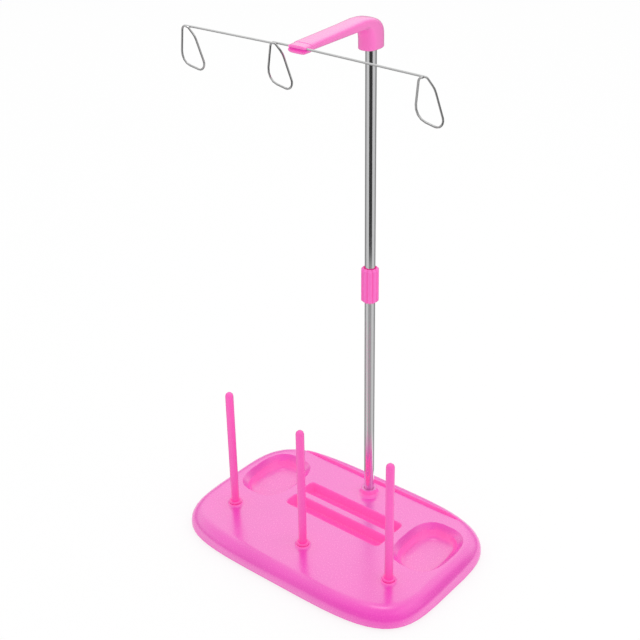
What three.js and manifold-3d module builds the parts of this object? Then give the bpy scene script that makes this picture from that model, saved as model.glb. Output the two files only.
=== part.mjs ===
// Three-spool thread stand: a moulded base with three pins, a two-piece mast joined by a
// fluted coupling, an arm on top of it and one bent wire that guides the three threads.
// Millimetres, +Z up. The origin is on the table under the middle of the base, +Y points to
// the back, where the mast stands.
import * as THREE from 'three';
import { mergeVertices } from 'three/addons/utils/BufferGeometryUtils.js';
import Module from 'manifold-3d';

const wasm = await Module();
wasm.setup();

// Fits
const GAP = 0.3; // clearance between two pieces that seat on or in each other
const RUNNING_FIT = 0.1; // radial clearance where one piece turns in another
const REACH = 1; // how far a cutter runs past the face that it cuts
const ROOT = 0.6; // how far a moulded detail is rooted in the wall that carries it

// Base moulding
const BASE_LENGTH = 280;
const BASE_WIDTH = 188;
const FRONT_POWER = 4.3; // squareness of the front corners: 2 is an ellipse, higher is squarer
const BACK_POWER = 4; // and of the back corners
const DECK_HEIGHT = 19; // above the table
const RIM_HEIGHT = 2.5; // gap under the rim
const SHOULDER_RADIUS = 14;
const BASE_WALL = 2.4;
const RIB_WALL = 1.6;
const RIB_DEPTH = 9; // below the underside of the deck

// Side trays
const TRAY_LENGTH = 54;
const TRAY_WIDTH = 74;
const TRAY_POWER = 2.8;
const TRAY_EDGE = 3; // deck left between a tray and the shoulder
const TRAY_FROM_BACK = 70; // from the back of the base to the middle of a tray
const TRAY_DEPTH = 13;
const TRAY_DRAFT = 4.5; // how far the wall leans in over its height
const TRAY_FILLET = 8;
const EDGE_CHAMFER = 0.8; // where the deck turns down into a tray or slot

// Slots in the middle
const SLOT_WEB = 11; // deck between the end of a slot and a tray
const FRONT_SLOT_WIDTH = 18;
const BACK_SLOT_WIDTH = 17;
const BRIDGE_WIDTH = 8; // between the two slots
const SLOTS_FROM_BACK = 57.5; // from the back of the base to the back slot
const SLOT_DEPTH = 11;
const SLOT_CORNER = 4.5;
const SLOT_DRAFT = 0.8;
const SLOT_FILLET = 1.6;

// Straight lip along the back of the deck
const LIP_FROM_BACK = 15;
const LIP_LENGTH = 198;
const LIP_HEIGHT = 2.8;
const LIP_WALL = 2.2;
const LIP_ROUND = 0.7;
const LIP_RUNOUT = 24; // length over which each end sinks to the deck

// Feet
const FOOT_DIAMETER = 15;
const FOOT_HEIGHT = 5;
const FOOT_FROM_SIDE = 32;
const FOOT_FROM_EDGE = 24;
const FOOT_CUP_WALL = 1.8;
const FOOT_POST_DIAMETER = 8; // from the cup up to the deck
const FOOT_EDGE = 1; // chamfer at the tread

// Spool pins
const PIN_DIAMETER = 8;
const PIN_HEIGHT = 127.5; // above its flange
const PIN_FROM_SIDE = 43.7;
const PIN_FROM_FRONT = 54.4;
const MIDDLE_PIN_STEP = 8.8; // how far the middle pin stands in front of the other two
const FLANGE_DIAMETER = 13;
const FLANGE_HEIGHT = 2.6;
const PIN_BOSS_DIAMETER = 18;
const PIN_BOSS_HEIGHT = 2;
const SPIGOT_DIAMETER = 7;
const SPIGOT_LENGTH = 8;
const SOCKET_WALL = 2; // wall of a socket under the deck
const PIN_SCREW_DIAMETER = 2.8;
const PIN_SCREW_LENGTH = 9;
const PIN_SCREW_HEAD = 5.6;
const PIN_SCREW_HEAD_HEIGHT = 2;
const PIN_WASHER_DIAMETER = 8.4;
const PIN_WASHER_THICKNESS = 0.8;

// Mast
const MAST_FROM_BACK = 36.5;
const TUBE_DIAMETER = 10;
const TUBE_WALL = 0.8;
const LOWER_TUBE_LENGTH = 247;
const UPPER_TUBE_LENGTH = 240.4;
const MAST_BOSS_DIAMETER = 24;
const MAST_BOSS_HEIGHT = 7.4;
const MAST_FLARE_HEIGHT = 2.6; // of the foot of the boss, below its straight collar
const MAST_COLLAR_DIAMETER = 16.4;
const COLLAR_ROUND = 1;
const MAST_SOCKET_DEPTH = 9; // below the deck
const MAST_SOCKET_FLOOR = 2.5;
const PLUG_LENGTH = 14;
const MAST_SCREW_DIAMETER = 5;
const MAST_SCREW_LENGTH = 14;
const MAST_SCREW_HEAD = 9;
const MAST_SCREW_HEAD_HEIGHT = 2.8;
const MAST_WASHER_DIAMETER = 14;
const MAST_WASHER_THICKNESS = 1.2;

// Coupling
const COUPLING_DIAMETER = 17;
const COUPLING_LENGTH = 35.6;
const COUPLING_STOP = 2; // web that the two tubes butt against
const COUPLING_CHAMFER = 2.2;
const COUPLING_MOUTH = 1.6; // countersink where a tube enters
const FLUTE_COUNT = 10;
const FLUTE_DEPTH = 0.9;

// Arm
const ARM_REACH = 94.6; // from the mast to the guide wire
const SOCKET_LENGTH = 18.6; // how far the arm goes down over the tube
const SOCKET_WIDTH = 17.4;
const SOCKET_DEPTH = 23.8;
const ARM_BEND = 20;
const BEND_POWER = 2.5; // 2 is a round elbow, higher is fuller
const BEND_LEAD = 8; // how far in front of the socket the elbow reaches its top
const ARM_INNER_FILLET = 2;
const ARM_ROOT_HEIGHT = 10.4;
const ARM_ROOT_RISE = 1.1; // how much higher the underside lies at the root than at the tip
const ARM_TIP_HEIGHT = 5.8;
const ARM_TIP_WIDTH = 18.8;
const SOCKET_POWER = 2.8; // roundness of the section at the open end of the socket
const ARM_POWER = 3.8; // and along the arm
const TIP_OVERHANG = 2.9; // beyond the wire
const SNAP_LENGTH = 8; // length of the two lips that hold the wire
const SNAP_STEP = 1.2; // how far the lower lip stands below the arm
const TOP_STEP = 0.4; // how far the upper lip stands below the top of the arm
const TIP_ROUND = 0.8;
const SEAT_ABOVE_TIP_FLOOR = 3.4; // from the underside of the arm to the wire
const SNAP_NECK = 1.5; // opening that the wire snaps through
const MOUTH_AIM = 35; // degrees that the opening points down from level
const MOUTH_DROP = 2.9; // how far the lower lip falls away to the very tip
const LIP_HANG = 0.1; // how far the upper lip hangs below the middle of the wire

// Guide wire
const WIRE_DIAMETER = 1.8;
const WIRE_SPACE = 0.4; // between the wire and itself where a loop closes
const WIRE_SAG = 1.9; // how far the ends hang lower than the middle
const LOOP_CENTRES = [-119.3, -22.3, 122]; // where each loop hangs, from the middle of the arm
const LOOP_HEIGHT = 37.2; // down to the lower right corner before rounding
const LOOP_SLANT = 5.5; // how much higher the lower left corner lies
const LOOP_REACH = 19.5; // of the lower right corner to the right of the loop's centre
const LOOP_SHOULDER = [7.4, 7]; // where its right side steepens, across and down
const LOOP_LEFT_TOPS = [8.5, 6.5, 5.6]; // reach of each loop's left side at the top
const LOOP_LEFT_FEET = [11.5, 11, 9.3]; // and at the foot
const LOOP_RADII = { start: 3, shoulder: 14, right: 6, left: 11, close: 4 };
const LOOP_HOLD = 2; // straight run past the centre before and after a loop

// Facets
const OUTLINE_SIDES = 60;
const TRAY_SIDES = 24;
const ROUND_SIDES = 24;
const SMALL_SIDES = 16;
const SLIVER = 0.01; // facets finer than this are merged into their neighbours
const WIRE_SIDES = 8;
const ARC_STEP = THREE.MathUtils.degToRad(22);
const CREASE = Math.cos(THREE.MathUtils.degToRad(32)); // faces that turn less look smooth

// Places that several pieces share
const SHOULDER = Math.min(SHOULDER_RADIUS, DECK_HEIGHT - RIM_HEIGHT);
const DECK_UNDERSIDE = DECK_HEIGHT - BASE_WALL;
const BACK_Y = BASE_WIDTH / 2;
const SIDE_X = BASE_LENGTH / 2;
const MAST_Y = BACK_Y - MAST_FROM_BACK;
const TRAY_X = SIDE_X - SHOULDER - TRAY_EDGE - TRAY_LENGTH / 2;
const TRAY_Y = BACK_Y - TRAY_FROM_BACK;
const SLOT_LENGTH = 2 * (TRAY_X - TRAY_LENGTH / 2 - SLOT_WEB);
const BACK_SLOT_Y = BACK_Y - SLOTS_FROM_BACK - BACK_SLOT_WIDTH / 2;
const FRONT_SLOT_Y = BACK_SLOT_Y - (BACK_SLOT_WIDTH + FRONT_SLOT_WIDTH) / 2 - BRIDGE_WIDTH;
const PIN_X = SIDE_X - PIN_FROM_SIDE;
const PIN_Y = PIN_FROM_FRONT - BACK_Y;
const PINS = {
  left: [-PIN_X, PIN_Y],
  middle: [0, PIN_Y - MIDDLE_PIN_STEP],
  right: [PIN_X, PIN_Y],
};
const FEET = {
  front_left: [-1, -1],
  front_right: [1, -1],
  back_left: [-1, 1],
  back_right: [1, 1],
};
const FOOT_X = SIDE_X - FOOT_FROM_SIDE;
const FOOT_Y = BACK_Y - FOOT_FROM_EDGE;
const FOOT_RADIUS = FOOT_DIAMETER / 2;

const PIN_SEAT = DECK_HEIGHT + PIN_BOSS_HEIGHT; // top of a pin's boss
const PIN_SOCKET_FLOOR = PIN_SEAT - SPIGOT_LENGTH - GAP;
const PIN_SOCKET_BOTTOM = PIN_SOCKET_FLOOR - BASE_WALL;
const TUBE_RADIUS = TUBE_DIAMETER / 2;
const TUBE_BORE = TUBE_RADIUS - TUBE_WALL;
const TUBE_SOCKET = TUBE_RADIUS + GAP; // radius of the bores that hold a tube fast
const MAST_FLOOR = DECK_HEIGHT - MAST_SOCKET_DEPTH; // top of the socket's floor
const MAST_SOCKET_BOTTOM = MAST_FLOOR - MAST_SOCKET_FLOOR;
const LOWER_TUBE_FOOT = MAST_FLOOR + GAP;
const STOP_BOTTOM = LOWER_TUBE_FOOT + LOWER_TUBE_LENGTH + GAP;
const COUPLING_MIDDLE = STOP_BOTTOM + COUPLING_STOP / 2;
const UPPER_TUBE_FOOT = STOP_BOTTOM + COUPLING_STOP + GAP;
const TUBE_TOP = UPPER_TUBE_FOOT + UPPER_TUBE_LENGTH;
const ARM_FLOOR = TUBE_TOP + GAP; // end of the bore in the arm, and the arm's underside
const WIRE_RADIUS = WIRE_DIAMETER / 2;
const SEAT_RADIUS = WIRE_RADIUS + RUNNING_FIT;

// Looks
const pink = new THREE.MeshStandardMaterial({ color: '#f65fb8', roughness: 0.22 });
const chrome = new THREE.MeshStandardMaterial({ color: '#d4d6d8', roughness: 0.1, metalness: 1 });
const steel = new THREE.MeshStandardMaterial({ color: '#a9abad', roughness: 0.35, metalness: 1 });
const zinc = new THREE.MeshStandardMaterial({ color: '#b9bbb8', roughness: 0.4, metalness: 1 });
const rubber = new THREE.MeshStandardMaterial({ color: '#3a383a', roughness: 0.85 });

// Signed volume of an indexed mesh: negative where its faces point inwards
function signedVolume(position, index) {
  const [a, b, c] = [new THREE.Vector3(), new THREE.Vector3(), new THREE.Vector3()];
  let volume = 0;
  for (let i = 0; i < index.length; i += 3) {
    a.fromBufferAttribute(position, index[i]);
    b.fromBufferAttribute(position, index[i + 1]);
    c.fromBufferAttribute(position, index[i + 2]);
    volume += a.dot(b.cross(c)) / 6;
  }
  return volume;
}

// One closed solid from a geometry: shared corners merged, slivers on an axis dropped
function solid(geometry) {
  const bare = geometry.clone();
  bare.deleteAttribute('normal');
  bare.deleteAttribute('uv');
  const merged = mergeVertices(bare, 1e-4);
  const index = [];
  for (let i = 0; i < merged.index.count; i += 3) {
    const [a, b, c] = [0, 1, 2].map((k) => merged.index.getX(i + k));
    if (a !== b && b !== c && c !== a) index.push(a, b, c);
  }
  if (signedVolume(merged.attributes.position, index) < 0) index.reverse();
  return new wasm.Manifold(new wasm.Mesh({
    numProp: 3,
    vertProperties: merged.attributes.position.array,
    triVerts: new Uint32Array(index),
  }));
}

// The geometry of a solid. Its normals follow the larger faces, so that flats look flat, and
// edges that turn more than the crease stay sharp.
function geometryOf(manifold) {
  const mesh = manifold.getMesh();
  const indexed = new THREE.BufferGeometry();
  indexed.setAttribute('position', new THREE.BufferAttribute(mesh.vertProperties, 3));
  indexed.setIndex(new THREE.BufferAttribute(mesh.triVerts, 1));
  const geometry = indexed.toNonIndexed();

  const corners = mesh.triVerts;
  const facesAt = Array.from({ length: mesh.vertProperties.length / 3 }, () => []);
  const areas = [];
  const triangle = new THREE.Triangle();
  for (let f = 0; f < corners.length / 3; f += 1) {
    triangle.setFromAttributeAndIndices(geometry.attributes.position, 3 * f, 3 * f + 1, 3 * f + 2);
    const normal = triangle.getNormal(new THREE.Vector3());
    areas.push({ normal, area: triangle.getArea() });
    for (const v of corners.subarray(3 * f, 3 * f + 3)) facesAt[v].push(f);
  }

  const normals = [];
  corners.forEach((v, corner) => {
    const own = areas[Math.floor(corner / 3)].normal;
    const sum = new THREE.Vector3();
    for (const f of facesAt[v]) {
      if (areas[f].normal.dot(own) >= CREASE) sum.addScaledVector(areas[f].normal, areas[f].area);
    }
    normals.push(...sum.normalize());
  });
  geometry.setAttribute('normal', new THREE.Float32BufferAttribute(normals, 3));
  return geometry;
}

// A skin through rings of equally many points, closed by a flat fan at each end
function loft(rings) {
  const count = rings[0].length;
  const points = rings.flat();
  const index = [];
  for (let r = 0; r < rings.length - 1; r += 1) {
    for (let k = 0; k < count; k += 1) {
      const a = r * count + k;
      const b = r * count + ((k + 1) % count);
      index.push(a, b, b + count, a, b + count, a + count);
    }
  }
  for (const end of [0, rings.length - 1]) {
    const middle = points.length;
    const sum = rings[end].reduce((total, p) => total.add(p), new THREE.Vector3());
    points.push(sum.divideScalar(count));
    for (let k = 0; k < count; k += 1) {
      const a = end * count + k;
      const b = end * count + ((k + 1) % count);
      index.push(...(end === 0 ? [b, a, middle] : [a, b, middle]));
    }
  }
  return new THREE.BufferGeometry().setFromPoints(points).setIndex(index);
}

// A turned shape around Z from a profile of [radius, height] points
function revolve(profile, sides = ROUND_SIDES) {
  const points = profile.map(([r, z]) => new THREE.Vector2(r, z));
  return new THREE.LatheGeometry(points, sides).rotateX(Math.PI / 2);
}

function cylinder(radius, bottom, top, sides = ROUND_SIDES) {
  return revolve([[0, bottom], [radius, bottom], [radius, top], [0, top]], sides);
}

// A circular run of profile points from one angle to another, in degrees
function arc(centreR, centreZ, radius, from, to, steps) {
  return Array.from({ length: steps + 1 }, (_, k) => {
    const a = THREE.MathUtils.degToRad(from + ((to - from) * k) / steps);
    return [centreR + radius * Math.cos(a), centreZ + radius * Math.sin(a)];
  });
}

// One point of a squared ellipse at a given turn
function squaredPoint(a, b, power, turn) {
  const [c, s] = [Math.cos(turn), Math.sin(turn)];
  const bend = (v) => Math.sign(v) * Math.abs(v) ** (2 / power);
  return [a * bend(c), b * bend(s)];
}

function squaredRing(a, b, power, sides, z, x = 0, y = 0) {
  return Array.from({ length: sides }, (_, k) => {
    const [u, v] = squaredPoint(a, b, power, (2 * Math.PI * (k + 0.5)) / sides);
    return new THREE.Vector3(x + u, y + v, z);
  });
}

function roundedRing(length, width, corner, z, x, y, steps = 4) {
  const ring = [];
  for (let quarter = 0; quarter < 4; quarter += 1) {
    const [sx, sy] = [[1, 1], [-1, 1], [-1, -1], [1, -1]][quarter];
    const [cx, cy] = [x + sx * (length / 2 - corner), y + sy * (width / 2 - corner)];
    for (const [u, v] of arc(cx, cy, corner, 90 * quarter, 90 * quarter + 90, steps)) {
      ring.push(new THREE.Vector3(u, v, z));
    }
  }
  return ring;
}

// The base's outline, drawn in by an inset
function baseRing(inset, z) {
  const ring = (power) => (
    squaredRing(SIDE_X - inset, BACK_Y - inset, power, OUTLINE_SIDES, z)
  );
  const front = ring(FRONT_POWER);
  return ring(BACK_POWER).map((point, k) => (point.y > 0 ? point : front[k]));
}

// Rim, shoulder and deck, drawn in all over by a wall
function baseForm(wall, bottom, steps) {
  const shoulder = arc(SHOULDER, DECK_HEIGHT - SHOULDER, SHOULDER - wall, 180, 90, steps);
  return solid(loft([[wall, bottom], ...shoulder].map(([inset, z]) => baseRing(inset, z))));
}

// Rings down a sunken shape: a chamfer at the deck, a leaning wall, a fillet and a floor.
// The ring function draws the outline drawn in by an inset, and grow moves every wall out.
function hollow(ring, { depth, draft, fillet, steps }, grow) {
  const floor = DECK_HEIGHT - depth - grow;
  const foot = fillet + grow;
  const rings = [
    ring(-EDGE_CHAMFER - grow, DECK_HEIGHT + REACH),
    ring(-EDGE_CHAMFER - grow, DECK_HEIGHT),
    ring(-grow, DECK_HEIGHT - EDGE_CHAMFER),
  ];
  for (const [u, z] of arc(draft + foot - grow, floor + foot, foot, 180, 270, steps)) {
    rings.push(ring(u, z));
  }
  return solid(loft(rings));
}

function trayHollow(side, grow = 0) {
  const ring = (inset, z) => squaredRing(
    TRAY_LENGTH / 2 - inset, TRAY_WIDTH / 2 - inset, TRAY_POWER, TRAY_SIDES, z,
    side * TRAY_X, TRAY_Y,
  );
  const wall = { depth: TRAY_DEPTH, draft: TRAY_DRAFT, fillet: TRAY_FILLET, steps: 3 };
  return hollow(ring, wall, grow);
}

function slotHollow(y, width, grow = 0) {
  const ring = (inset, z) => roundedRing(
    SLOT_LENGTH - 2 * inset, width - 2 * inset, Math.max(SLOT_CORNER - inset, ROOT), z, 0, y,
  );
  const wall = { depth: SLOT_DEPTH, draft: SLOT_DRAFT, fillet: SLOT_FILLET, steps: 2 };
  return hollow(ring, wall, grow);
}

// Low lip along the back, parallel to the mast's row and sinking away at both ends
function backLip() {
  const steps = 5;
  const outer = BACK_Y - LIP_FROM_BACK;
  const inner = outer - LIP_WALL;
  const root = DECK_UNDERSIDE + ROOT;
  const ring = (x, share) => {
    const top = DECK_HEIGHT - ROOT + (LIP_HEIGHT + ROOT) * (1 - share ** 2);
    const section = [
      [inner, root], [inner, top - LIP_ROUND], [inner + LIP_ROUND, top],
      [outer - LIP_ROUND, top], [outer, top - LIP_ROUND], [outer, root],
    ];
    return section.map(([y, z]) => new THREE.Vector3(x, y, z));
  };
  const shares = Array.from({ length: steps + 1 }, (_, k) => k / steps);
  const start = LIP_LENGTH / 2 - LIP_RUNOUT;
  return solid(loft([
    ...shares.toReversed().map((share) => ring(-start - LIP_RUNOUT * share, share)),
    ...shares.map((share) => ring(start + LIP_RUNOUT * share, share)),
  ]));
}

// Boss that flares up from the deck, with the socket that hangs below it
function boss(x, y, profile, socketRadius, socketBottom) {
  const deck = DECK_HEIGHT - ROOT;
  const above = solid(revolve([[0, deck], ...profile, [0, profile.at(-1)[1]]]));
  const below = solid(cylinder(socketRadius, socketBottom, deck + ROOT / 2));
  return above.add(below).translate(x, y, 0);
}

function pinBoss(x, y) {
  const [foot, top] = [PIN_BOSS_DIAMETER / 2, FLANGE_DIAMETER / 2];
  const flare = [0, 0.35, 0.7, 1].map((t) => [
    foot - (foot - top) * (1 - (1 - t) ** 2), DECK_HEIGHT + PIN_BOSS_HEIGHT * t,
  ]);
  const profile = [[foot, DECK_HEIGHT - ROOT], ...flare];
  return boss(x, y, profile, SPIGOT_DIAMETER / 2 + GAP + SOCKET_WALL, PIN_SOCKET_BOTTOM);
}

function mastBoss() {
  const [foot, collar] = [MAST_BOSS_DIAMETER / 2, MAST_COLLAR_DIAMETER / 2];
  const top = DECK_HEIGHT + MAST_BOSS_HEIGHT;
  const flare = [0, 0.4, 1].map((t) => [
    foot - (foot - collar) * (1 - (1 - t) ** 2), DECK_HEIGHT + MAST_FLARE_HEIGHT * t,
  ]);
  const profile = [[foot, DECK_HEIGHT - ROOT], ...flare,
    ...arc(collar - COLLAR_ROUND, top - COLLAR_ROUND, COLLAR_ROUND, 0, 90, 3)];
  return boss(0, MAST_Y, profile, TUBE_SOCKET + SOCKET_WALL, MAST_SOCKET_BOTTOM);
}

// Ribs under the deck that tie the sockets to the rim
function ribs() {
  const bottom = DECK_UNDERSIDE - RIB_DEPTH;
  const wall = (length, width, x, y) => solid(
    new THREE.BoxGeometry(length, width, DECK_HEIGHT - bottom - ROOT),
  ).translate(x, y, (bottom + DECK_HEIGHT - ROOT) / 2);
  const across = (TRAY_X - TRAY_LENGTH / 2 + SLOT_LENGTH / 2) / 2;
  const parts = [PIN_Y, MAST_Y].map((y) => wall(BASE_LENGTH, RIB_WALL, 0, y));
  for (const x of [-across, 0, across]) parts.push(wall(RIB_WALL, BASE_WIDTH, x, 0));
  return wasm.Manifold.union(parts);
}

// Cup that holds a foot, on a post from the deck
function footCup(sx, sy) {
  const radius = FOOT_RADIUS + GAP + FOOT_CUP_WALL;
  const top = FOOT_HEIGHT + GAP + BASE_WALL;
  return solid(cylinder(radius, RIM_HEIGHT, top))
    .add(solid(cylinder(FOOT_POST_DIAMETER / 2, top - ROOT, DECK_HEIGHT - ROOT, SMALL_SIDES)))
    .translate(sx * FOOT_X, sy * FOOT_Y, 0);
}

function baseShell() {
  const outside = baseForm(0, RIM_HEIGHT, 6);
  const inside = baseForm(BASE_WALL, RIM_HEIGHT - REACH, 3);
  const slots = [[BACK_SLOT_Y, BACK_SLOT_WIDTH], [FRONT_SLOT_Y, FRONT_SLOT_WIDTH]];
  const pins = Object.values(PINS);
  const feet = Object.values(FEET);

  const under = wasm.Manifold.union([
    ...[-1, 1].map((side) => trayHollow(side, BASE_WALL)),
    ...slots.map(([y, width]) => slotHollow(y, width, BASE_WALL)),
    ...feet.map(([sx, sy]) => footCup(sx, sy)),
    ribs(),
  ]).intersect(outside);
  const form = wasm.Manifold.union([
    outside.subtract(inside), under, backLip(), mastBoss(), ...pins.map(([x, y]) => pinBoss(x, y)),
  ]);

  const drill = (radius, bottom, top, x, y) => (
    solid(cylinder(radius, bottom, top)).translate(x, y, 0)
  );
  const cuts = [
    ...[-1, 1].map((side) => trayHollow(side)),
    ...slots.map(([y, width]) => slotHollow(y, width)),
    ...feet.map(([sx, sy]) => drill(
      FOOT_RADIUS + GAP, RIM_HEIGHT - REACH, FOOT_HEIGHT + GAP, sx * FOOT_X, sy * FOOT_Y,
    )),
    drill(TUBE_SOCKET, MAST_FLOOR, DECK_HEIGHT + MAST_BOSS_HEIGHT + REACH, 0, MAST_Y),
    drill(MAST_SCREW_DIAMETER / 2 + GAP, MAST_SOCKET_BOTTOM - REACH, MAST_FLOOR + REACH, 0, MAST_Y),
    drill(
      MAST_WASHER_DIAMETER / 2 + GAP, RIM_HEIGHT - REACH, MAST_SOCKET_BOTTOM, 0, MAST_Y,
    ),
  ];
  for (const [x, y] of pins) {
    cuts.push(
      drill(SPIGOT_DIAMETER / 2 + GAP, PIN_SOCKET_FLOOR, PIN_SEAT + REACH, x, y),
      drill(PIN_SCREW_DIAMETER / 2 + GAP, PIN_SOCKET_BOTTOM - REACH, PIN_SOCKET_FLOOR + REACH, x, y),
      drill(PIN_WASHER_DIAMETER / 2 + GAP, RIM_HEIGHT - REACH, PIN_SOCKET_BOTTOM, x, y),
    );
  }
  return form.subtract(wasm.Manifold.union(cuts)).asOriginal().simplify(SLIVER);
}

// Rubber foot, measured from the table
function foot() {
  return solid(revolve([
    [0, 0], [FOOT_RADIUS - FOOT_EDGE, 0], [FOOT_RADIUS, FOOT_EDGE],
    [FOOT_RADIUS, FOOT_HEIGHT], [0, FOOT_HEIGHT],
  ]));
}

// Pin with flange, spigot and pilot hole, measured from the seat of its flange
function spoolPin() {
  const [pin, flange, spigot] = [PIN_DIAMETER / 2, FLANGE_DIAMETER / 2, SPIGOT_DIAMETER / 2];
  const hole = PIN_SCREW_DIAMETER / 2 + GAP;
  const holeTop = PIN_SCREW_LENGTH - BASE_WALL - SPIGOT_LENGTH;
  const bead = FLANGE_HEIGHT / 2;
  const top = FLANGE_HEIGHT + PIN_HEIGHT;
  return solid(revolve([
    [0, holeTop], [hole, holeTop], [hole, -SPIGOT_LENGTH], [spigot, -SPIGOT_LENGTH],
    [spigot, GAP], [flange - bead / 2, GAP],
    ...arc(flange - bead, bead + GAP, bead - GAP / 2, -45, 90, 3),
    [pin, FLANGE_HEIGHT],
    ...arc(0, top - pin, pin, 0, 90, 3),
  ]));
}

// Screw with a domed head, measured from under its head
function screw(diameter, length, head, headHeight) {
  const point = diameter / 2;
  return solid(revolve([
    [0, -headHeight], [0.6 * head / 2, -headHeight], [head / 2, -0.4 * headHeight],
    [head / 2, 0], [diameter / 2, 0], [diameter / 2, length - point], [0, length],
  ], SMALL_SIDES));
}

function washer(diameter, bore, thickness) {
  return solid(cylinder(diameter / 2, 0, thickness, SMALL_SIDES))
    .subtract(solid(cylinder(bore / 2, -REACH, thickness + REACH, SMALL_SIDES)));
}

function tube(length) {
  return solid(cylinder(TUBE_RADIUS, 0, length))
    .subtract(solid(cylinder(TUBE_BORE, -REACH, length + REACH)));
}

// Plug with a threaded hole in the foot of the lower tube
function mastPlug() {
  const hole = MAST_SCREW_DIAMETER / 2 + GAP;
  return solid(cylinder(TUBE_BORE - GAP, 0, PLUG_LENGTH))
    .subtract(solid(cylinder(hole, -REACH, PLUG_LENGTH + REACH)));
}

// Fluted sleeve, measured from its middle
function coupling() {
  const perFlute = 5;
  const half = COUPLING_LENGTH / 2;
  const ring = (inset, z) => Array.from({ length: FLUTE_COUNT * perFlute }, (_, k) => {
    const turn = (2 * Math.PI * k) / (FLUTE_COUNT * perFlute);
    const groove = Math.abs(Math.cos((FLUTE_COUNT * turn) / 2)) ** 6;
    const radius = COUPLING_DIAMETER / 2 - inset - FLUTE_DEPTH * groove;
    return new THREE.Vector3(radius * Math.cos(turn), radius * Math.sin(turn), z);
  });
  const body = solid(loft([
    ring(COUPLING_CHAMFER, -half), ring(0, COUPLING_CHAMFER - half),
    ring(0, half - COUPLING_CHAMFER), ring(COUPLING_CHAMFER, half),
  ]));
  const bore = solid(revolve([
    [0, COUPLING_STOP / 2], [TUBE_SOCKET, COUPLING_STOP / 2],
    [TUBE_SOCKET, half - COUPLING_MOUTH], [TUBE_SOCKET + COUPLING_MOUTH / 2, half],
    [TUBE_SOCKET + COUPLING_MOUTH / 2, half + REACH], [0, half + REACH],
  ]));
  return body.subtract(bore).subtract(bore.mirror([0, 0, 1]));
}

// One cross-section of the arm, between a point on its inner side and one on its outer side
function armRing(inner, outer, width, power = ARM_POWER) {
  const sides = 26;
  const [iy, iz] = inner;
  const [oy, oz] = outer;
  const half = Math.hypot(oy - iy, oz - iz) / 2;
  const [uy, uz] = [(oy - iy) / (2 * half), (oz - iz) / (2 * half)];
  return Array.from({ length: sides }, (_, k) => {
    const [a, b] = squaredPoint(width / 2, half, power, (2 * Math.PI * (k + 0.5)) / sides);
    return new THREE.Vector3(a, (iy + oy) / 2 + b * uy, (iz + oz) / 2 + b * uz);
  });
}

// Socket, bend and arm as rings from the open end of the socket to the tip. The arm's own
// frame has the mast on Z and its floor, the end of the bore, at zero.
function armRings() {
  const [front, back] = [-SOCKET_DEPTH / 2, SOCKET_DEPTH / 2];
  const bendZ = ARM_ROOT_HEIGHT - ARM_BEND;
  const under = ARM_ROOT_RISE;
  const rings = [
    armRing([front + TIP_ROUND, -SOCKET_LENGTH], [back - TIP_ROUND, -SOCKET_LENGTH],
      SOCKET_WIDTH - 2 * TIP_ROUND, SOCKET_POWER),
    armRing([front, TIP_ROUND - SOCKET_LENGTH], [back, TIP_ROUND - SOCKET_LENGTH],
      SOCKET_WIDTH, SOCKET_POWER),
  ];
  const steps = 9;
  for (let k = 0; k <= steps; k += 1) {
    const turn = (Math.PI / 2) * (k / steps);
    const [u, v] = squaredPoint(SOCKET_DEPTH + BEND_LEAD, ARM_BEND, BEND_POWER, turn);
    const outer = [front - BEND_LEAD + u, bendZ + v];
    const corner = Math.max(0, (3 * k) / steps - 2) * (Math.PI / 2);
    const rise = Math.min(1, (1.5 * k) / steps);
    const inner = [
      front - ARM_INNER_FILLET * (1 - Math.cos(corner)),
      bendZ + (under - ARM_INNER_FILLET - bendZ) * rise + ARM_INNER_FILLET * Math.sin(corner),
    ];
    const power = SOCKET_POWER + (ARM_POWER - SOCKET_POWER) * (k / steps);
    rings.push(armRing(inner, outer, SOCKET_WIDTH, power));
  }
  const root = front - ARM_INNER_FILLET;
  const tip = -ARM_REACH - TIP_OVERHANG;
  const at = (y, step, inset) => {
    const share = (root - y) / (root - tip);
    const top = ARM_ROOT_HEIGHT + (ARM_TIP_HEIGHT - ARM_ROOT_HEIGHT) * share;
    const width = SOCKET_WIDTH + (ARM_TIP_WIDTH - SOCKET_WIDTH) * share;
    const bottom = under * (1 - share) - SNAP_STEP * step;
    return armRing([y, bottom + inset], [y, top - TOP_STEP * step - inset], width - 2 * inset);
  };
  const snap = tip + SNAP_LENGTH;
  const run = snap - root;
  rings.push(at(root + run / 3, 0, 0), at(root + (2 * run) / 3, 0, 0), at(snap + ROOT, 0, 0));
  rings.push(at(snap, 1, 0), at(tip + TIP_ROUND, 1, 0), at(tip, 1, TIP_ROUND));
  return rings;
}

// The mouth that the wire snaps into: a funnel, a neck and a round seat
function snapMouth() {
  const tip = -TIP_OVERHANG;
  const open = Math.asin(SNAP_NECK / 2 / SEAT_RADIUS);
  const aim = Math.PI + THREE.MathUtils.degToRad(MOUTH_AIM);
  const shape = new THREE.Shape();
  shape.moveTo(tip - REACH, -MOUTH_DROP);
  shape.lineTo(tip, -MOUTH_DROP);
  shape.lineTo(SEAT_RADIUS * Math.cos(aim + open), SEAT_RADIUS * Math.sin(aim + open));
  shape.absarc(0, 0, SEAT_RADIUS, aim + open, aim - open, false);
  shape.lineTo(tip, -LIP_HANG);
  shape.lineTo(tip - REACH, -LIP_HANG);
  const width = Math.max(ARM_TIP_WIDTH, SOCKET_WIDTH) + 2 * REACH;
  const cut = new THREE.ExtrudeGeometry(shape, {
    depth: width, bevelEnabled: false, curveSegments: 12,
  });
  // The shape was drawn in Y and Z: turn it so that the cut runs along X
  cut.rotateX(Math.PI / 2).rotateZ(Math.PI / 2).translate(-width / 2, 0, 0);
  return solid(cut);
}

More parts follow.
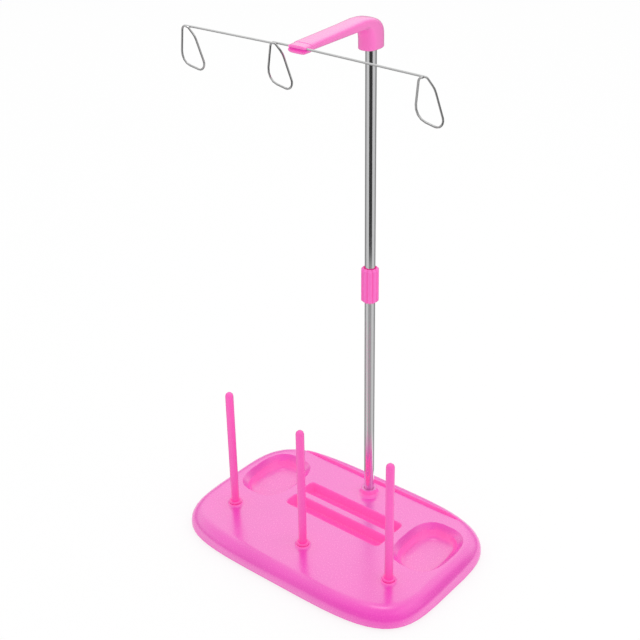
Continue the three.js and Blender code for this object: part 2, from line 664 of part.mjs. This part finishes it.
function arm() {
  const bore = cylinder(TUBE_RADIUS + RUNNING_FIT, -SOCKET_LENGTH - REACH, 0);
  const mouth = snapMouth().translate(0, -ARM_REACH, SEAT_ABOVE_TIP_FLOOR);
  return solid(loft(armRings())).subtract(solid(bore)).subtract(mouth);
}

// Points of a line whose corners [x, z, radius] are rounded, starting and ending sharp
function filleted(corners) {
  const points = [];
  corners.forEach(([x, z, radius], k) => {
    if (!radius) {
      points.push(new THREE.Vector2(x, z));
      return;
    }
    const corner = new THREE.Vector2(x, z);
    const back = new THREE.Vector2(...corners[k - 1]).sub(corner).normalize();
    const on = new THREE.Vector2(...corners[k + 1]).sub(corner).normalize();
    const turn = Math.PI - Math.acos(back.dot(on));
    const reach = radius * Math.tan(turn / 2);
    const middle = back.clone().add(on).normalize()
      .multiplyScalar(Math.hypot(radius, reach)).add(corner);
    const from = back.multiplyScalar(reach).add(corner).sub(middle);
    const to = on.multiplyScalar(reach).add(corner).sub(middle);
    const sense = Math.sign(from.cross(to));
    const steps = Math.ceil(turn / ARC_STEP);
    for (let s = 0; s <= steps; s += 1) {
      points.push(from.clone().rotateAround(new THREE.Vector2(), (sense * turn * s) / steps)
        .add(middle));
    }
  });
  return points;
}

// One thread loop from its entry at the top: down its right side, round the bottom, up the
// left side and across its own start. It shifts from one depth to another on the way.
function loopPoints(which, entry, exit, [from, to]) {
  const centre = LOOP_CENTRES[which];
  const [across, down] = LOOP_SHOULDER;
  const line = filleted([
    [centre - entry, 0, 0],
    [centre, 0, LOOP_RADII.start],
    [centre + across, -down, LOOP_RADII.shoulder],
    [centre + LOOP_REACH, -LOOP_HEIGHT, LOOP_RADII.right],
    [centre - LOOP_LEFT_FEET[which], LOOP_SLANT - LOOP_HEIGHT, LOOP_RADII.left],
    [centre - LOOP_LEFT_TOPS[which], 0, LOOP_RADII.close],
    [centre + exit, 0, 0],
  ]);
  const lengths = [0];
  for (let k = 1; k < line.length; k += 1) {
    lengths.push(lengths[k - 1] + line[k].distanceTo(line[k - 1]));
  }
  const [first, last] = [lengths[1], lengths.at(-2)];
  return line.map((p, k) => {
    const share = THREE.MathUtils.clamp((lengths[k] - first) / (last - first), 0, 1);
    return new THREE.Vector3(p.x, from + (to - from) * share, p.y);
  });
}

// Centre line of the whole wire. The middle of the arm's seat is at its origin.
function wirePoints() {
  const beside = -WIRE_DIAMETER - WIRE_SPACE;
  const [left, middle, right] = [0, 1, 2];
  const past = LOOP_RADII.start + LOOP_HOLD;
  const points = [
    ...loopPoints(left, LOOP_HOLD, past, [beside, 0]),
    ...loopPoints(middle, past, past, [beside, 0]),
    new THREE.Vector3(-ARM_TIP_WIDTH / 2, 0, 0),
    new THREE.Vector3(ARM_TIP_WIDTH / 2, 0, 0),
    ...loopPoints(right, past, -LOOP_HOLD, [0, beside]),
  ];
  return points.map((p) => p.setZ(p.z - WIRE_SAG * (p.x / LOOP_CENTRES[right]) ** 2));
}

// A path that steps from point to point
class PointPath extends THREE.Curve {
  constructor(points) {
    super();
    this.points = points;
  }

  getPointAt(u) {
    return this.points[Math.round(u * (this.points.length - 1))].clone();
  }

  getTangentAt(u) {
    const k = Math.round(u * (this.points.length - 1));
    const tangent = new THREE.Vector3();
    for (const j of [k - 1, k]) {
      const [a, b] = [this.points[j], this.points[j + 1]];
      if (a && b) tangent.add(b.clone().sub(a).normalize());
    }
    return tangent.normalize();
  }
}

function guideBar() {
  const points = wirePoints();
  const section = new THREE.Shape(Array.from({ length: WIRE_SIDES }, (_, k) => {
    const turn = (2 * Math.PI * k) / WIRE_SIDES;
    return new THREE.Vector2(WIRE_RADIUS * Math.cos(turn), WIRE_RADIUS * Math.sin(turn));
  }));
  return solid(new THREE.ExtrudeGeometry(section, {
    steps: points.length - 1, extrudePath: new PointPath(points),
  }));
}

// The assembly
const stand = new THREE.Group();

function place(name, form, material, [x, y, z], parent) {
  const mesh = new THREE.Mesh(geometryOf(form), material);
  mesh.name = name;
  mesh.position.set(x, y, z);
  parent.add(mesh);
  return mesh;
}

const base = new THREE.Group();
stand.add(base);
place('base_shell', baseShell(), pink, [0, 0, 0], base);
for (const [corner, [sx, sy]] of Object.entries(FEET)) {
  place(`foot_${corner}`, foot(), rubber, [sx * FOOT_X, sy * FOOT_Y, 0], base);
}
for (const [side, [x, y]] of Object.entries(PINS)) {
  const washerZ = PIN_SOCKET_BOTTOM - GAP - PIN_WASHER_THICKNESS;
  place(`spool_pin_${side}`, spoolPin(), pink, [x, y, PIN_SEAT], base);
  place(`pin_washer_${side}`,
    washer(PIN_WASHER_DIAMETER, PIN_SCREW_DIAMETER + 2 * GAP, PIN_WASHER_THICKNESS),
    zinc, [x, y, washerZ], base);
  place(`pin_screw_${side}`,
    screw(PIN_SCREW_DIAMETER, PIN_SCREW_LENGTH, PIN_SCREW_HEAD, PIN_SCREW_HEAD_HEIGHT),
    zinc, [x, y, washerZ - GAP], base);
}

const mast = new THREE.Group();
mast.position.set(0, MAST_Y, 0);
base.add(mast);
const mastWasherZ = MAST_SOCKET_BOTTOM - GAP - MAST_WASHER_THICKNESS;
place('mast_lower_tube', tube(LOWER_TUBE_LENGTH), chrome, [0, 0, LOWER_TUBE_FOOT], mast);
place('mast_plug', mastPlug(), steel, [0, 0, LOWER_TUBE_FOOT], mast);
place('mast_washer',
  washer(MAST_WASHER_DIAMETER, MAST_SCREW_DIAMETER + 2 * GAP, MAST_WASHER_THICKNESS),
  zinc, [0, 0, mastWasherZ], mast);
place('mast_screw',
  screw(MAST_SCREW_DIAMETER, MAST_SCREW_LENGTH, MAST_SCREW_HEAD, MAST_SCREW_HEAD_HEIGHT),
  zinc, [0, 0, mastWasherZ - GAP], mast);
place('mast_coupling', coupling(), pink, [0, 0, COUPLING_MIDDLE], mast);
place('mast_upper_tube', tube(UPPER_TUBE_LENGTH), chrome, [0, 0, UPPER_TUBE_FOOT], mast);

const armGroup = new THREE.Group();
armGroup.position.set(0, 0, ARM_FLOOR);
mast.add(armGroup);
place('arm', arm(), pink, [0, 0, 0], armGroup);
place('guide_bar', guideBar(), steel, [0, -ARM_REACH, SEAT_ABOVE_TIP_FLOOR], armGroup);

export default stand;
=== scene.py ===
"""Thread cone holder on a pale floor, seen from above its front right corner.

The shapes are the CAD nodes. This script smooths how they shade, gives each one a
procedural material, and adds the camera, the floor, the cards, the world and the lamps.
"""
import math

import bpy
from mathutils import Matrix, Vector


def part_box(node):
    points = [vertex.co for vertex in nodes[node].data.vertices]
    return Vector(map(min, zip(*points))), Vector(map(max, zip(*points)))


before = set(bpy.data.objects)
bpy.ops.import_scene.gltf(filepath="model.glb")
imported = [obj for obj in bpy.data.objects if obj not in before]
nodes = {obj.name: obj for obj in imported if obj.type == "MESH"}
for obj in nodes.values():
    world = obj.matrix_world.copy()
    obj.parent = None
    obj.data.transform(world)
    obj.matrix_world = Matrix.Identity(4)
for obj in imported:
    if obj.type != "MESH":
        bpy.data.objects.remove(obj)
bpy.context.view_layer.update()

# Lengths are in metres and angles in degrees, unless a line says otherwise. Azimuth 0 is
# in front of the stand and 90 at its right

# Camera, fitted to the photograph
AZIMUTH, ELEVATION, ROLL = 39.6, 28.42, -1.0
LENS, SENSOR = 68.12, 36.0  # millimetres
CLIP = (0.05, 50.0)
AIM_HEIGHT = 0.140
DISTANCE = 1.1464
OFF_CENTRE = (-0.01213, 0.09265)  # place of the aim point in the frame, at its distance

# Floor
WHITE = (1.0, 1.0, 1.0, 1.0)
FLOOR_SIZE = 12.0
FLOOR_COLOUR = (0.95, 0.95, 0.95, 1.0)
FLOOR_WHITE = 0.8  # share of plain white in the floor as it is seen

# World. Gloss sees a studio that is dim low down and, up to some height, on one side.
# A rise is the sine of a ray's elevation
WORLD_STRENGTH = 0.94
LOW_RISES = (0.08, 0.36)  # where the low part is dim and where it is bright
LOW_LEVEL = 0.35
SIDE_RISES = (0.62, 0.86)  # where the dim side is dim and where it is bright
SIDE_LEVEL = 0.2
SIDE_TURN = 20.0  # from the camera's azimuth to the middle of the dim side
SIDE_WIDTH = (105.0, 80.0)  # from that middle to where the side begins and is full

# Cards at deck height, flat sectors of rings round the mast: start and end from the
# camera's azimuth, inner and outer radius, grey, and how far the inner edge fades in
CARD_HEIGHT = 0.0215
CARD_REACH = 8.5
CARD_STEPS = 24
CARDS = {
    "front_card": (-34.0, 34.0, 0.07, 0.56, 0.36, 0.045),
    "dark_card": (-34.0, 34.0, 0.56, CARD_REACH, 0.04, 0.0),
    "right_card": (34.0, 95.0, 0.07, CARD_REACH, 0.62, 0.045),
    "left_card": (-95.0, -34.0, 0.07, CARD_REACH, 0.62, 0.045),
    "back_card": (95.0, 265.0, 0.036, CARD_REACH, 0.3, 0.004),
}

# Soft lamps: azimuth, elevation, distance, width, height and power in watts
LAMP_AIM = Vector((0.0, 0.0, 0.2))
LAMPS = {
    "right": (100.0, 40.0, 1.9, 1.6, 1.6, 4.0),
    "behind": (225.0, 30.0, 2.4, 2.4, 1.6, 2.0),
    "above": (AZIMUTH + 180.0, 82.0, 1.9, 0.5, 0.5, 2.4),
}

# Shading of the CAD nodes
CREASE = 32.0  # a sharper edge stays sharp
WELD = 2e-6
FLAT_WEIGHT = 50

# Pink plastics. "reach" is how far round a point a hollow is looked for, and "depths" are
# how open a point is, from 0 to 1, where the painted hollow shading is full and where it
# is gone. That shading is a colour that stands in for shade and bounced light in hollows.
# "grow" and "fade" are the slants between which the gloss comes and goes, where 0 faces
# the eye. "coated" gives a clear gloss layer, and "walled" is for trays and slots, whose
# walls get the painted shading and the painted glow
# Painted hollow shading: lighter and redder in the base's trays and slots for bounced
# light, darker in the arm's mouth, at the pins' feet and in the flutes for shade
PINKS = {
    "pink_moulding": dict(
        colour=(0.87, 0.06, 0.51), painted_hollow_shading=(1.0, 0.14, 0.52), roughness=0.25,
        reach=0.02, depths=(0.2, 0.85), grow=(0.02, 0.36), fade=(0.39, 0.6),
        coated=True, walled=True),
    "pink_arm": dict(
        colour=(0.99, 0.17, 0.58), painted_hollow_shading=(0.86, 0.06, 0.56), roughness=0.45,
        reach=0.02, depths=(0.15, 0.75), grow=(0.25, 0.5), coated=True),
    "pink_pin": dict(
        colour=(0.99, 0.12, 0.53), painted_hollow_shading=(1.0, 0.045, 0.4), roughness=0.25,
        reach=0.05, depths=(0.35, 0.9)),
    "pink_fluted": dict(
        colour=(0.97, 0.15, 0.57), painted_hollow_shading=(0.97, 0.03, 0.36), roughness=0.3,
        reach=0.003, depths=(0.6, 0.98)),
}
PLASTIC_IOR, COAT_IOR, COAT_ROUGHNESS = 1.5, 1.9, 0.22
SPECULAR = (0.5, 1.0)  # level without the slanted gloss and with all of it
FADED_GLOSS = 0.4  # share of the gloss that is left where it has faded
HOLLOW_GLOSS = 0.25  # share of the gloss that is left in a hollow
PAINTED_HOLLOW_GLOW = 0.26  # strength of the painted glow, an emission that lightens a hollow
PAINTED_GLOW_DEPTHS = (0.2, 0.9)  # how open a point is where the painted glow is full and where it is gone
PAINTED_WALL_GLOW = 0.18  # strength of the painted glow on the walls of trays and slots
WALL_SLOPES = (0.65, 0.97)  # upward part of the normal on a wall and on a floor
WALL_DEPTHS = (0.92, 0.99)  # how open a wall is, and a slope outside trays and slots
AO_SAMPLES = 8

# Noises of the materials, as scale per metre and detail, with the height and strength of
# their bumps and the steps that they add to a roughness
NOISE_SPAN = (0.3, 0.7)  # most of a noise's values lie in it
CLOUDS, CLOUD_SHARES = (18.0, 2.0), (0.97, 1.03)
WAVES, WAVE_BUMP = (26.0, 1.0), (0.0012, 0.22)
PORES, PORE_BUMP = (300.0, 2.0), (0.00001, 0.1)
GLOSS_GRAIN, GLOSS_STEPS = (900.0, 3.0), (-0.03, 0.04)
DRAWN_LINES, DRAWN_STRETCH = (600.0, 2.0), (1.0, 1.0, 0.004)
DRAWN_BUMP, DRAWN_STEPS = (0.00002, 0.15), (-0.03, 0.03)
STEEL_BUMP, STEEL_STEPS = (0.00002, 0.3), (0.06, -0.04)
RUBBER_GRAIN, RUBBER_BUMP = (1500.0, 3.0), (0.00004, 0.5)

# Metals and rubber
CHROME_COLOUR = (0.85, 0.85, 0.86, 1.0)
CHROMES = {"polished_plate": 0.12, "satin_plate": 0.16}  # roughness
STEEL_DIPS = 0.85  # share of a steel's colour in the dips of its grain
STEELS = {  # colour, roughness and grain
    "drawn_wire": ((0.63, 0.63, 0.63), 0.22, (900.0, 3.0)),
    "zinc_plate": ((0.62, 0.62, 0.58), 0.38, (1200.0, 3.0)),
}
RUBBER_COLOURS = ((0.028, 0.027, 0.028), (0.05, 0.048, 0.05))
RUBBER_ROUGHNESS = 0.75

# Material of each node, by how the node's name begins
LOOKS = {
    "base_shell": "pink_moulding",
    "arm": "pink_arm",
    "mast_coupling": "pink_fluted",
    "spool_pin": "pink_pin",
    "mast_lower_tube": "satin_plate",
    "mast_upper_tube": "polished_plate",
    "guide_bar": "drawn_wire",
    "foot": "foot_rubber",
    "pin_screw": "zinc_plate",
    "pin_washer": "zinc_plate",
    "mast_screw": "zinc_plate",
    "mast_washer": "zinc_plate",
    "mast_plug": "zinc_plate",
}


def aim(azimuth, elevation=0.0):
    """Unit vector away from the stand."""
    a, e = math.radians(azimuth), math.radians(elevation)
    return Vector((math.sin(a) * math.cos(e), -math.cos(a) * math.cos(e), math.sin(e)))


def add_object(name, data):
    made = bpy.data.objects.new(name, data)
    bpy.context.scene.collection.objects.link(made)
    return made


def make_camera():
    a, r = math.radians(AZIMUTH), math.radians(ROLL)
    back = aim(AZIMUTH, ELEVATION)
    right = Vector((math.cos(a), math.sin(a), 0.0))
    up = back.cross(right)
    across = right * math.cos(r) + up * math.sin(r)
    above = up * math.cos(r) - right * math.sin(r)
    data = bpy.data.cameras.new("camera")
    data.lens, data.sensor_width = LENS, SENSOR
    data.clip_start, data.clip_end = CLIP
    camera = add_object("camera", data)
    place = (Vector((0.0, 0.0, AIM_HEIGHT)) + back * DISTANCE
             + across * OFF_CENTRE[0] + above * OFF_CENTRE[1])
    turn = Matrix((across, above, back)).transposed()
    camera.matrix_world = Matrix.Translation(place) @ turn.to_4x4()
    bpy.context.scene.camera = camera


class Nodes:
    """A short way to build a material's or the world's node tree."""

    def __init__(self, tree):
        self.tree = tree
        tree.nodes.clear()

    def add(self, kind, inputs=None, **settings):
        node = self.tree.nodes.new(kind)
        for key, value in settings.items():
            setattr(node, key, value)
        for key, value in (inputs or {}).items():
            if isinstance(value, bpy.types.NodeSocket):
                self.tree.links.new(value, node.inputs[key])
            else:
                node.inputs[key].default_value = value
        return node

    def math(self, operation, a, b):
        return self.add("ShaderNodeMath", {0: a, 1: b}, operation=operation).outputs[0]

    def vector(self, operation, a, b=(0.0, 0.0, 0.0)):
        node = self.add("ShaderNodeVectorMath", {0: a, 1: b}, operation=operation)
        single = operation in ("DOT_PRODUCT", "LENGTH")
        return node.outputs["Value" if single else "Vector"]

    def mix(self, factor, a, b, **settings):
        inputs = {"Factor": factor, "A": a, "B": b}
        return self.add("ShaderNodeMix", inputs, **settings).outputs["Result"]

    def shades(self, value, first, last, span=(0.0, 1.0)):
        """Colour from first to last as the value goes through the span."""
        node = self.add("ShaderNodeValToRGB", {"Fac": value})
        for stop, position, colour in zip(node.color_ramp.elements, span, (first, last)):
            stop.position, stop.color = position, (*colour, 1.0)
        return node.outputs["Color"]

    def spread(self, value, span, first, last):
        """Number from first to last as the value goes through the span."""
        node = self.add("ShaderNodeMapRange", {
            "Value": value, "From Min": span[0], "From Max": span[1],
            "To Min": first, "To Max": last,
        })
        return node.outputs["Result"]

    def noise(self, scale, detail, stretch=None):
        """Noise in the object's own metres."""
        place = self.add("ShaderNodeTexCoord").outputs["Object"]
        if stretch:
            inputs = {"Vector": place, "Scale": stretch}
            place = self.add("ShaderNodeMapping", inputs).outputs["Vector"]
        inputs = {"Vector": place, "Scale": scale, "Detail": detail}
        return self.add("ShaderNodeTexNoise", inputs).outputs["Fac"]

    def rough(self, noise, roughness, steps):
        """Roughness that a noise lowers and raises by the steps."""
        return self.spread(noise, NOISE_SPAN, *(roughness + step for step in steps))

    def bump(self, noise, distance, strength, below=None):
        """Normal of a bump, which can lie on the bumps below."""
        inputs = {"Height": noise, "Distance": distance, "Strength": strength}
        if below is not None:
            inputs["Normal"] = below
        return self.add("ShaderNodeBump", inputs).outputs["Normal"]

    def shader(self, settings):
        """Plain shader with these settings, as the material's surface."""
        made = self.add("ShaderNodeBsdfPrincipled", settings)
        self.add("ShaderNodeOutputMaterial", {"Surface": made.outputs[0]})

    def mixed_shader(self, share, first, second):
        inputs = {0: share, 1: first.outputs[0], 2: second.outputs[0]}
        made = self.add("ShaderNodeMixShader", inputs)
        self.add("ShaderNodeOutputMaterial", {"Surface": made.outputs[0]})


def material(name):
    made = bpy.data.materials.new(name)
    made.use_nodes = True
    return made, Nodes(made.node_tree)


def outside_walls(n, hollow):
    """0 on the walls of trays and slots, and 1 on their floors and outside them."""
    normal = n.add("ShaderNodeNewGeometry").outputs["Normal"]
    rise = n.add("ShaderNodeSeparateXYZ", {0: normal}).outputs["Z"]
    level = n.spread(rise, WALL_SLOPES, 0.0, 1.0)
    return n.math("MAXIMUM", level, n.spread(hollow, WALL_DEPTHS, 0.0, 1.0))


def pink_plastic(name, colour, painted_hollow_shading, roughness, reach, depths,
                 grow=(0.0, 1.0), fade=None, coated=False, walled=False):
    """Glossy moulded plastic with painted shading in its hollows, a colour and a weak glow
    that stand in for shade and bounced light, with the faint clouds and waves of a
    moulding and a fine grain in its gloss."""
    made, n = material(name)
    hollow = n.add("ShaderNodeAmbientOcclusion", {"Distance": reach}, samples=AO_SAMPLES,
                   only_local=walled).outputs["AO"]
    open_share = n.spread(hollow, depths, 0.0, 1.0)
    # Painted glow: a weak emission in the hollow colour that lightens hollows and stands
    # in for light
    painted_glow = n.spread(hollow, PAINTED_GLOW_DEPTHS, PAINTED_HOLLOW_GLOW, 0.0)
    # The walls of trays and slots take the painted hollow shading in full, and the painted
    # glow of a wall
    if walled:
        open_share = n.math("MINIMUM", open_share, outside_walls(n, hollow))
        painted_glow = n.spread(open_share, (0.0, 1.0), PAINTED_WALL_GLOW, 0.0)
    # Painted shade and bounced light: the hollow colour wherever the AO finds a hollow
    tone_with_painted_shading = n.shades(open_share, painted_hollow_shading, colour)
    clouds = n.spread(n.noise(*CLOUDS), NOISE_SPAN, *CLOUD_SHARES)
    tinted = n.mix(1.0, tone_with_painted_shading, clouds, data_type="RGBA", blend_type="MULTIPLY")
    waves = n.bump(n.noise(*WAVES), *WAVE_BUMP)
    facing = n.add("ShaderNodeLayerWeight", {"Blend": 0.5}).outputs["Facing"]
    gloss = n.spread(facing, grow, 0.0, 1.0)
    if fade:
        gloss = n.math("MULTIPLY", gloss, n.spread(facing, fade, 1.0, FADED_GLOSS))
    gloss = n.math("MULTIPLY", gloss, n.spread(open_share, (0.0, 1.0), HOLLOW_GLOSS, 1.0))
    settings = {
        "Base Color": tinted, "IOR": PLASTIC_IOR,
        "Roughness": n.rough(n.noise(*GLOSS_GRAIN), roughness, GLOSS_STEPS),
        "Specular IOR Level": n.spread(gloss, (0.0, 1.0), *SPECULAR),
        "Emission Color": (*painted_hollow_shading, 1.0), "Emission Strength": painted_glow,
        "Normal": n.bump(n.noise(*PORES), *PORE_BUMP, waves),
    }
    if coated:
        settings.update({
            "Coat Weight": gloss, "Coat Roughness": COAT_ROUGHNESS, "Coat IOR": COAT_IOR,
        })
    n.shader(settings)
    made.cycles.emission_sampling = "NONE"
    return made


def chrome(name, roughness):
    """Plated tube with faint drawn lines along it."""
    made, n = material(name)
    lines = n.noise(*DRAWN_LINES, DRAWN_STRETCH)
    n.shader({
        "Base Color": CHROME_COLOUR, "Metallic": 1.0,
        "Roughness": n.rough(lines, roughness, DRAWN_STEPS),
        "Normal": n.bump(lines, *DRAWN_BUMP),
    })
    return made


def steel(name, colour, roughness, texture):
    """Wire or plated steel with a fine grain that is darker and rougher in its dips."""
    made, n = material(name)
    grain = n.noise(*texture)
    dips = tuple(STEEL_DIPS * c for c in colour)
    n.shader({
        "Base Color": n.shades(grain, dips, colour, NOISE_SPAN), "Metallic": 1.0,
        "Roughness": n.rough(grain, roughness, STEEL_STEPS),
        "Normal": n.bump(grain, *STEEL_BUMP),
    })
    return made


def rubber(name):
    made, n = material(name)
    grain = n.noise(*RUBBER_GRAIN)
    n.shader({
        "Base Color": n.shades(grain, *RUBBER_COLOURS, NOISE_SPAN),
        "Roughness": RUBBER_ROUGHNESS, "Normal": n.bump(grain, *RUBBER_BUMP),
    })
    return made


def smooth_cad(node):
    """Rounds the shading of a faceted solid and leaves its true edges sharp."""
    mesh = node.data
    mesh.polygons.foreach_set("use_smooth", [True] * len(mesh.polygons))
    node.modifiers.new("weld", "WELD").merge_threshold = WELD
    split = node.modifiers.new("creases", "EDGE_SPLIT")
    split.use_edge_angle, split.use_edge_sharp = True, False
    split.split_angle = math.radians(CREASE)
    weighted = node.modifiers.new("flats", "WEIGHTED_NORMAL")
    weighted.mode, weighted.weight = "FACE_AREA", FLAT_WEIGHT


def dress():
    made = {name: pink_plastic(name, **look) for name, look in PINKS.items()}
    made.update((name, chrome(name, roughness)) for name, roughness in CHROMES.items())
    made.update((name, steel(name, *look)) for name, look in STEELS.items())
    made["foot_rubber"] = rubber("foot_rubber")
    for name, node in nodes.items():
        look = next(value for key, value in LOOKS.items() if name.startswith(key))
        node.data.materials.clear()
        node.data.materials.append(made[look])
        smooth_cad(node)


def seen_directly(n):
    """1 for camera, mirror and glass rays, 0 for the light that falls on things."""
    path = n.add("ShaderNodeLightPath").outputs
    mirror = n.math("MAXIMUM", path["Is Glossy Ray"], path["Is Transmission Ray"])
    return n.math("MAXIMUM", path["Is Camera Ray"], mirror)


def stage_mesh(name, points, faces, height, made):
    """Flat piece of the stage, level with a height."""
    mesh = bpy.data.meshes.new(name)
    mesh.from_pydata(points, [], faces)
    mesh.materials.append(made)
    made.cycles.emission_sampling = "NONE"
    piece = add_object(name, mesh)
    piece.location.z = height
    return piece


def make_floor():
    made, n = material("pale_floor")
    paper = n.add("ShaderNodeBsdfDiffuse", {"Color": FLOOR_COLOUR})
    shown = n.add("ShaderNodeEmission", {"Color": WHITE, "Strength": 1.0})
    n.mixed_shader(n.math("MULTIPLY", seen_directly(n), FLOOR_WHITE), paper, shown)
    s = FLOOR_SIZE / 2
    points = [(-s, -s, 0.0), (s, -s, 0.0), (s, s, 0.0), (-s, s, 0.0)]
    stage_mesh("floor", points, [(0, 1, 2, 3)], 0.0, made)


def card_paper(name, near, grey, fade):
    """Grey that shows from above and is clear from below and at a faded edge."""
    made, n = material(name)
    lit = n.add("ShaderNodeEmission", {"Color": (grey, grey, grey, 1.0), "Strength": 1.0})
    hidden = n.add("ShaderNodeNewGeometry").outputs["Backfacing"]
    if fade:
        place = n.add("ShaderNodeTexCoord").outputs["Object"]
        edge = n.spread(n.vector("LENGTH", place), (near, near + fade), 1.0, 0.0)
        hidden = n.math("MAXIMUM", hidden, edge)
    n.mixed_shader(hidden, lit, n.add("ShaderNodeBsdfTransparent"))
    return made


def make_cards():
    """Flat cards round the mast which show in metal and gloss alone."""
    low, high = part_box("mast_lower_tube")
    row = CARD_STEPS + 1
    faces = [(k, row + k, row + k + 1, k + 1) for k in range(CARD_STEPS)]
    for name, (start, end, near, far, grey, fade) in CARDS.items():
        turns = [AZIMUTH + start + (end - start) * k / CARD_STEPS for k in range(row)]
        points = [radius * aim(turn) for radius in (near, far) for turn in turns]
        made = card_paper(name, near, grey, fade)
        card = stage_mesh(name, points, faces, CARD_HEIGHT, made)
        card.location.x, card.location.y = (low[0] + high[0]) / 2, (low[1] + high[1]) / 2
        card.visible_camera = card.visible_diffuse = card.visible_shadow = False


def make_world():
    """White for the eye, a plain level for the things it lights, a studio for gloss."""
    world = bpy.data.worlds.new("studio")
    world.use_nodes = True
    n = Nodes(world.node_tree)
    ray = n.add("ShaderNodeTexCoord").outputs["Generated"]
    rise = n.add("ShaderNodeSeparateXYZ", {0: ray}).outputs["Z"]
    low = n.spread(rise, LOW_RISES, LOW_LEVEL, 1.0)
    level = n.vector("NORMALIZE", n.vector("MULTIPLY", ray, (1.0, 1.0, 0.0)))
    along = n.vector("DOT_PRODUCT", level, aim(AZIMUTH + SIDE_TURN))
    width = [math.cos(math.radians(angle)) for angle in SIDE_WIDTH]
    side = n.math("MULTIPLY", n.spread(along, width, 0.0, 1.0 - SIDE_LEVEL),
                  n.spread(rise, SIDE_RISES, 1.0, 0.0))
    studio = n.math("MINIMUM", low, n.math("SUBTRACT", 1.0, side))
    glossy = n.add("ShaderNodeLightPath").outputs["Is Glossy Ray"]
    shown = n.mix(glossy, 1.0, studio, data_type="FLOAT")
    strength = n.mix(seen_directly(n), WORLD_STRENGTH, shown, data_type="FLOAT")
    shade = n.add("ShaderNodeBackground", {"Color": WHITE, "Strength": strength})
    n.add("ShaderNodeOutputWorld", {"Surface": shade.outputs[0]})
    bpy.context.scene.world = world


def make_lamps():
    for name, (azimuth, elevation, distance, width, height, power) in LAMPS.items():
        away = aim(azimuth, elevation)
        data = bpy.data.lights.new(name, "AREA")
        data.shape, data.size, data.size_y, data.energy = "RECTANGLE", width, height, power
        lamp = add_object(name, data)
        lamp.location = LAMP_AIM + away * distance
        lamp.rotation_euler = away.to_track_quat("Z", "Y").to_euler()


bpy.context.scene.view_settings.view_transform = "Standard"
make_camera()
make_floor()
make_cards()
make_world()
make_lamps()
dress()
